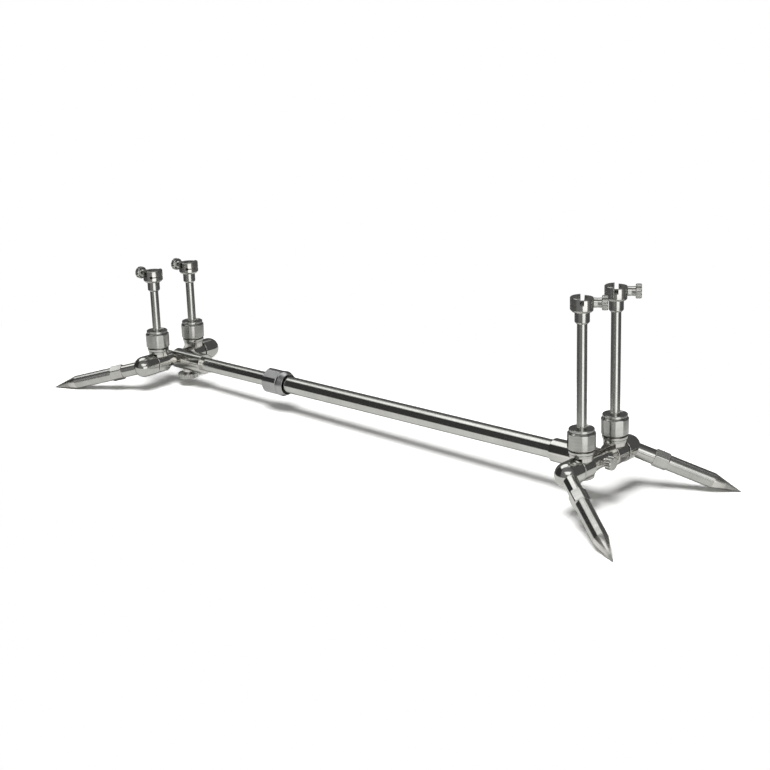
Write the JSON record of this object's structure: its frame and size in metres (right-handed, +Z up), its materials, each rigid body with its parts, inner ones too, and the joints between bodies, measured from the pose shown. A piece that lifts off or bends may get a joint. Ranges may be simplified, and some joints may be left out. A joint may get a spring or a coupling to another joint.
{
  "type": "rod pod",
  "caption": "Low stainless rod pod: telescopic main bar, cross bars with collet-locked uprights and slotted clamp heads, and splayed spike legs on domed knuckles.",
  "frame": {"origin": "on the ground, midway between the front and the rear spike points, on the middle plane", "axes": "+X to the front, the end with the taller uprights; +Y left; +Z up"},
  "size_m": [0.854, 0.234, 0.2235],
  "materials": {
    "polished_stainless": "polished stainless steel",
    "turned_stainless": "turned and knurled stainless steel",
    "white_nylon": "natural nylon",
    "black_nylon": "black nylon",
    "black_steel": "black oxide steel"
  },
  "bodies": {
    "main_bar": {"outer_tube": "polished_stainless", "main_collet": "white_nylon"},
    "inner_bar": {"inner_tube": "polished_stainless", "inner_tube_bush": "black_nylon"},
    "lock_collar": {"main_lock_collar": "polished_stainless"},
    "front_end": {"front_tee": "polished_stainless", "front_cross_bar": "polished_stainless", "front_knuckle_washers": "black_nylon", "front_grub_screws": "black_steel", "front_left_upright_block": "polished_stainless", "front_left_collet": "white_nylon", "front_right_upright_block": "polished_stainless", "front_right_collet": "white_nylon"},
    "front_tee_screw": {"front_tee_thumbscrew": "turned_stainless"},
    "front_centre_screw": {"front_centre_knob": "turned_stainless"},
    "front_left_nut": {"front_left_lock_nut": "polished_stainless"},
    "front_left_rod": {"front_left_upright": "polished_stainless"},
    "front_left_clamp": {"front_left_head": "turned_stainless"},
    "front_left_clamp_screw": {"front_left_head_thumbscrew": "turned_stainless"},
    "front_left_leg": {"front_left_knuckle": "polished_stainless", "front_left_leg_neck": "polished_stainless", "front_left_spike": "polished_stainless"},
    "front_right_nut": {"front_right_lock_nut": "polished_stainless"},
    "front_right_rod": {"front_right_upright": "polished_stainless"},
    "front_right_clamp": {"front_right_head": "turned_stainless"},
    "front_right_clamp_screw": {"front_right_head_thumbscrew": "turned_stainless"},
    "front_right_leg": {"front_right_knuckle": "polished_stainless", "front_right_leg_neck": "polished_stainless", "front_right_spike": "polished_stainless"},
    "rear_end": {"rear_tee": "polished_stainless", "rear_cross_bar": "polished_stainless", "rear_knuckle_washers": "black_nylon", "rear_grub_screws": "black_steel", "rear_left_upright_block": "polished_stainless", "rear_left_collet": "white_nylon", "rear_right_upright_block": "polished_stainless", "rear_right_collet": "white_nylon"},
    "rear_tee_screw": {"rear_tee_thumbscrew": "turned_stainless"},
    "rear_centre_screw": {"rear_centre_knob": "turned_stainless"},
    "rear_left_nut": {"rear_left_lock_nut": "polished_stainless"},
    "rear_left_rod": {"rear_left_upright": "polished_stainless"},
    "rear_left_clamp": {"rear_left_head": "turned_stainless"},
    "rear_left_clamp_screw": {"rear_left_head_thumbscrew": "turned_stainless"},
    "rear_left_leg": {"rear_left_knuckle": "polished_stainless", "rear_left_leg_neck": "polished_stainless", "rear_left_spike": "polished_stainless"},
    "rear_right_nut": {"rear_right_lock_nut": "polished_stainless"},
    "rear_right_rod": {"rear_right_upright": "polished_stainless"},
    "rear_right_clamp": {"rear_right_head": "turned_stainless"},
    "rear_right_clamp_screw": {"rear_right_head_thumbscrew": "turned_stainless"},
    "rear_right_leg": {"rear_right_knuckle": "polished_stainless", "rear_right_leg_neck": "polished_stainless", "rear_right_spike": "polished_stainless"}
  },
  "joints": [
    {"name": "bar_extend", "type": "slide", "parent": "main_bar", "child": "inner_bar", "axis": [-0.9998, 0, -0.0192], "range_m": [-0.11, 0.17]},
    {"name": "bar_lock_turn", "type": "hinge", "parent": "main_bar", "child": "lock_collar", "pos_m": [-0.1356, 0, 0.0361], "axis": [0.9998, 0, 0.0192], "continuous": true},
    {"name": "front_end_turn", "type": "hinge", "parent": "main_bar", "child": "front_end", "pos_m": [0.32731, 0, 0.045], "axis": [0.9998, 0, 0.0192], "range_deg": [-45, 45]},
    {"name": "front_tee_screw_turn", "type": "hinge", "parent": "front_end", "child": "front_tee_screw", "pos_m": [0.3076, 0, 0.02962], "axis": [-0.0192, 0, 0.9998], "continuous": true},
    {"name": "front_centre_screw_turn", "type": "hinge", "parent": "front_end", "child": "front_centre_screw", "pos_m": [0.32731, 0, 0.045], "axis": [0.9998, 0, 0.0192], "continuous": true},
    {"name": "front_left_nut_turn", "type": "hinge", "parent": "front_end", "child": "front_left_nut", "pos_m": [0.32672, 0.02925, 0.07599], "axis": [-0.0192, 0, 0.9998], "continuous": true},
    {"name": "front_left_upright_raise", "type": "slide", "parent": "front_end", "child": "front_left_rod", "axis": [-0.0192, 0, 0.9998], "range_m": [0, 0.018]},
    {"name": "front_left_clamp_turn", "type": "hinge", "parent": "front_left_rod", "child": "front_left_clamp", "pos_m": [0.3242, 0.02925, 0.20697], "axis": [-0.0192, 0, 0.9998], "continuous": true},
    {"name": "front_left_clamp_screw_turn", "type": "hinge", "parent": "front_left_clamp", "child": "front_left_clamp_screw", "pos_m": [0.33646, 0.03764, 0.21591], "axis": [0.8289, 0.5592, 0.0159], "continuous": true},
    {"name": "front_left_leg_fold", "type": "hinge", "parent": "front_end", "child": "front_left_leg", "pos_m": [0.32731, 0.0538, 0.045], "axis": [0, 1, 0], "range_deg": [-60, 150]},
    {"name": "front_right_nut_turn", "type": "hinge", "parent": "front_end", "child": "front_right_nut", "pos_m": [0.32672, -0.02925, 0.07599], "axis": [-0.0192, 0, 0.9998], "continuous": true},
    {"name": "front_right_upright_raise", "type": "slide", "parent": "front_end", "child": "front_right_rod", "axis": [-0.0192, 0, 0.9998], "range_m": [0, 0.018]},
    {"name": "front_right_clamp_turn", "type": "hinge", "parent": "front_right_rod", "child": "front_right_clamp", "pos_m": [0.3242, -0.02925, 0.20697], "axis": [-0.0192, 0, 0.9998], "continuous": true},
    {"name": "front_right_clamp_screw_turn", "type": "hinge", "parent": "front_right_clamp", "child": "front_right_clamp_screw", "pos_m": [0.33646, -0.02086, 0.21591], "axis": [0.8289, 0.5592, 0.0159], "continuous": true},
    {"name": "front_right_leg_fold", "type": "hinge", "parent": "front_end", "child": "front_right_leg", "pos_m": [0.32731, -0.0538, 0.045], "axis": [0, 1, 0], "range_deg": [-60, 150]},
    {"name": "rear_end_turn", "type": "hinge", "parent": "inner_bar", "child": "rear_end", "pos_m": [-0.32257, 0, 0.0325], "axis": [0.9998, 0, 0.0192], "range_deg": [-45, 45]},
    {"name": "rear_tee_screw_turn", "type": "hinge", "parent": "rear_end", "child": "rear_tee_screw", "pos_m": [-0.30228, 0, 0.01789], "axis": [-0.0192, 0, 0.9998], "continuous": true},
    {"name": "rear_centre_screw_turn", "type": "hinge", "parent": "rear_end", "child": "rear_centre_screw", "pos_m": [-0.32257, 0, 0.0325], "axis": [-0.9998, 0, -0.0192], "continuous": true},
    {"name": "rear_left_nut_turn", "type": "hinge", "parent": "rear_end", "child": "rear_left_nut", "pos_m": [-0.32316, 0.02925, 0.06349], "axis": [-0.0192, 0, 0.9998], "continuous": true},
    {"name": "rear_left_upright_raise", "type": "slide", "parent": "rear_end", "child": "rear_left_rod", "axis": [-0.0192, 0, 0.9998], "range_m": [0, 0.018]},
    {"name": "rear_left_clamp_turn", "type": "hinge", "parent": "rear_left_rod", "child": "rear_left_clamp", "pos_m": [-0.32459, 0.02925, 0.13748], "axis": [-0.0192, 0, 0.9998], "continuous": true},
    {"name": "rear_left_clamp_screw_turn", "type": "hinge", "parent": "rear_left_clamp", "child": "rear_left_clamp_screw", "pos_m": [-0.33974, 0.02873, 0.14589], "axis": [-0.9992, -0.0349, -0.0192], "continuous": true},
    {"name": "rear_left_leg_fold", "type": "hinge", "parent": "rear_end", "child": "rear_left_leg", "pos_m": [-0.32257, 0.0538, 0.0325], "axis": [0, -1, 0], "range_deg": [-60, 150]},
    {"name": "rear_right_nut_turn", "type": "hinge", "parent": "rear_end", "child": "rear_right_nut", "pos_m": [-0.32316, -0.02925, 0.06349], "axis": [-0.0192, 0, 0.9998], "continuous": true},
    {"name": "rear_right_upright_raise", "type": "slide", "parent": "rear_end", "child": "rear_right_rod", "axis": [-0.0192, 0, 0.9998], "range_m": [0, 0.018]},
    {"name": "rear_right_clamp_turn", "type": "hinge", "parent": "rear_right_rod", "child": "rear_right_clamp", "pos_m": [-0.32459, -0.02925, 0.13748], "axis": [-0.0192, 0, 0.9998], "continuous": true},
    {"name": "rear_right_clamp_screw_turn", "type": "hinge", "parent": "rear_right_clamp", "child": "rear_right_clamp_screw", "pos_m": [-0.33974, -0.02977, 0.14589], "axis": [-0.9992, -0.0349, -0.0192], "continuous": true},
    {"name": "rear_right_leg_fold", "type": "hinge", "parent": "rear_end", "child": "rear_right_leg", "pos_m": [-0.32257, -0.0538, 0.0325], "axis": [0, -1, 0], "range_deg": [-60, 150]}
  ]
}
